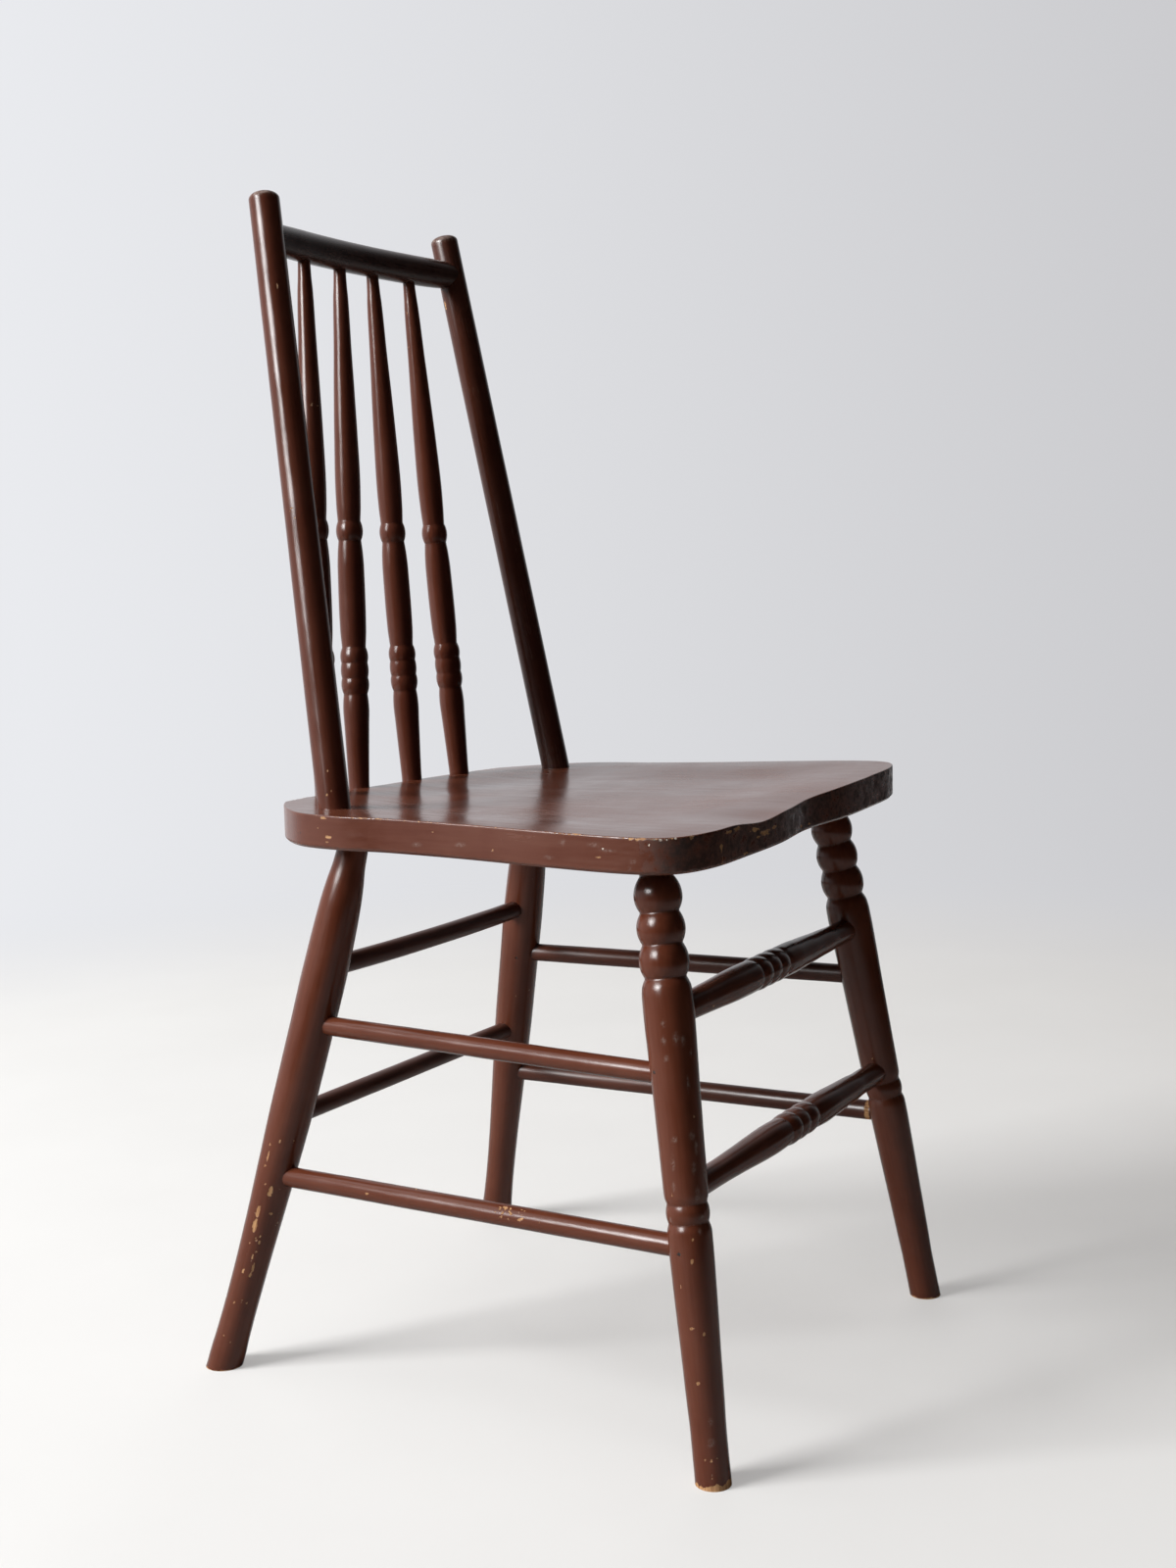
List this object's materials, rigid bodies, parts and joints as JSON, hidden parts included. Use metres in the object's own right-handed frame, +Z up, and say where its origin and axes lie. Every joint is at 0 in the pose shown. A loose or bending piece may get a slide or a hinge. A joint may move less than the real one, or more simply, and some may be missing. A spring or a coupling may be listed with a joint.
{
  "type": "peeling paint chair",
  "caption": "Old plank-seat kitchen chair with turned legs and stretchers, a spindle back and a bowed round crest rail, in chipped brown paint.",
  "frame": {"origin": "on the floor, at the middle of the chair's width and depth", "axes": "+Z up along the height, -Y the way the sitter faces, -X the sitter's right"},
  "size_m": [0.4142, 0.462, 0.9048],
  "materials": {
    "seat_enamel": "semi-gloss brown enamel on wood, dulled and chipped at the edges",
    "leg_enamel": "semi-gloss brown enamel on turned wood, chipped and scuffed",
    "back_enamel": "semi-gloss brown enamel on turned wood",
    "brad_steel": "dull rusted steel"
  },
  "bodies": {
    "root": {"seat": "seat_enamel", "front_leg_right": "leg_enamel", "front_leg_left": "leg_enamel", "rear_leg_right": "leg_enamel", "rear_leg_left": "leg_enamel", "back_post_right": "back_enamel", "back_post_left": "back_enamel", "crest_rail": "back_enamel", "spindle_1": "back_enamel", "spindle_2": "back_enamel", "spindle_3": "back_enamel", "spindle_4": "back_enamel", "front_stretcher_upper": "leg_enamel", "front_stretcher_lower": "leg_enamel", "side_stretcher_right_upper": "leg_enamel", "side_stretcher_right_lower": "leg_enamel", "side_stretcher_left_upper": "leg_enamel", "side_stretcher_left_lower": "leg_enamel", "rear_stretcher_upper": "leg_enamel", "rear_stretcher_lower": "leg_enamel", "brad_right_upper": "brad_steel", "brad_right_lower": "brad_steel", "brad_left_upper": "brad_steel"}
  },
  "joints": []
}
